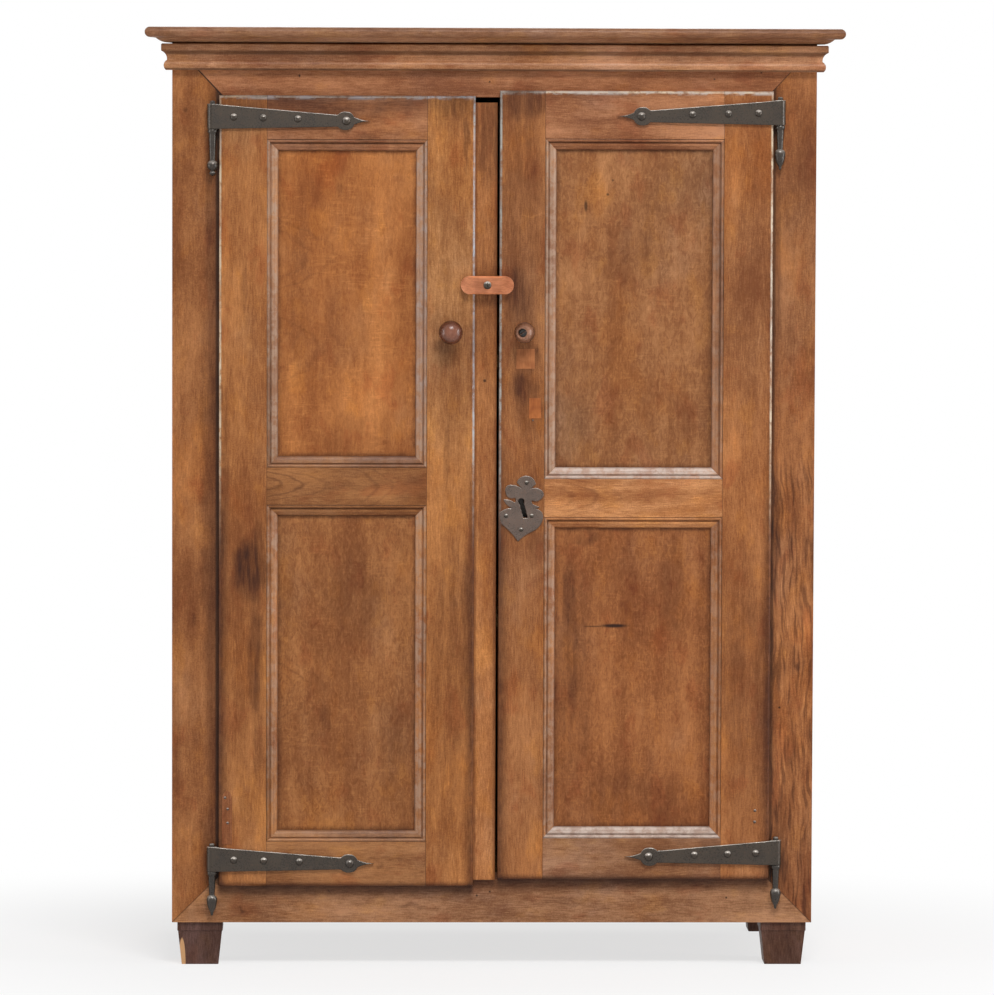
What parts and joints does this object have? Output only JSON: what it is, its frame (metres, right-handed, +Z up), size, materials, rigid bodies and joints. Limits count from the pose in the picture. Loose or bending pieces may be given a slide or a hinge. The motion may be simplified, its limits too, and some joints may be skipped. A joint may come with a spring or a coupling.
{
  "type": "two-door cupboard",
  "caption": "Tall oak cupboard with panelled doors on iron strap hinges, a moulded cornice, a turn button and a lock; it stores household things on shelves.",
  "frame": {"origin": "centre of the bounding box, on the floor under the feet", "axes": "+X to the right seen from the front, +Y from the doors to the back, +Z up"},
  "size_m": [1.04, 0.516, 1.404],
  "materials": {
    "oak": "waxed",
    "plain_oak": "bare",
    "dark_oak": "waxed",
    "fruitwood": "polished by hand",
    "iron": "forged, browned"
  },
  "bodies": {
    "carcass": {"back_boards": "plain_oak", "back_rails": "plain_oak", "cornice_front": "oak", "cornice_left": "oak", "cornice_right": "oak", "floor_boards": "plain_oak", "front_bottom_rail": "oak", "front_feet": "dark_oak", "front_left_stile": "oak", "front_right_stile": "oak", "front_top_rail": "oak", "left_side_bottom_rail": "oak", "left_side_lower_panel": "oak", "left_side_middle_rail": "oak", "left_side_top_rail": "oak", "left_side_upper_panel": "oak", "lower_left_pintle": "iron", "lower_right_pintle": "iron", "lower_shelf": "plain_oak", "rear_feet": "dark_oak", "rear_left_post": "oak", "rear_right_post": "oak", "right_side_bottom_rail": "oak", "right_side_lower_panel": "oak", "right_side_middle_rail": "oak", "right_side_top_rail": "oak", "right_side_upper_panel": "oak", "shelf_cleats": "plain_oak", "top_board": "oak", "upper_left_pintle": "iron", "upper_right_pintle": "iron", "upper_shelf": "plain_oak"},
    "left_door": {"left_hinge_stile": "oak", "left_meeting_stile": "oak", "left_top_rail": "oak", "left_middle_rail": "oak", "left_bottom_rail": "oak", "left_upper_panel": "oak", "left_lower_panel": "oak", "meeting_strip": "oak", "left_knob": "fruitwood", "upper_left_strap": "iron", "lower_left_strap": "iron", "left_door_nails": "iron", "button_screw": "iron"},
    "right_door": {"right_hinge_stile": "oak", "right_meeting_stile": "oak", "right_top_rail": "oak", "right_middle_rail": "oak", "right_bottom_rail": "oak", "right_upper_panel": "oak", "right_lower_panel": "oak", "right_knob": "fruitwood", "upper_right_strap": "iron", "lower_right_strap": "iron", "right_door_nails": "iron", "escutcheon": "iron", "lock_case": "iron"},
    "turn_button": {"turn_button": "fruitwood"},
    "lock_bolt": {"lock_bolt": "iron"}
  },
  "joints": [
    {"name": "left_door_hinge", "type": "hinge", "parent": "carcass", "child": "left_door", "pos_m": [-0.42, -0.212, 0.7], "axis": [0, 0, -1], "range_deg": [0, 165]},
    {"name": "right_door_hinge", "type": "hinge", "parent": "carcass", "child": "right_door", "pos_m": [0.425, -0.212, 0.7], "axis": [0, 0, 1], "range_deg": [0, 165]},
    {"name": "turn_button_pivot", "type": "hinge", "parent": "left_door", "child": "turn_button", "pos_m": [-0.01085, -0.222, 1.022], "axis": [0, -1, 0], "continuous": true},
    {"name": "lock_bolt_slide", "type": "slide", "parent": "right_door", "child": "lock_bolt", "axis": [-1, 0, 0], "range_m": [0, 0.016]}
  ]
}
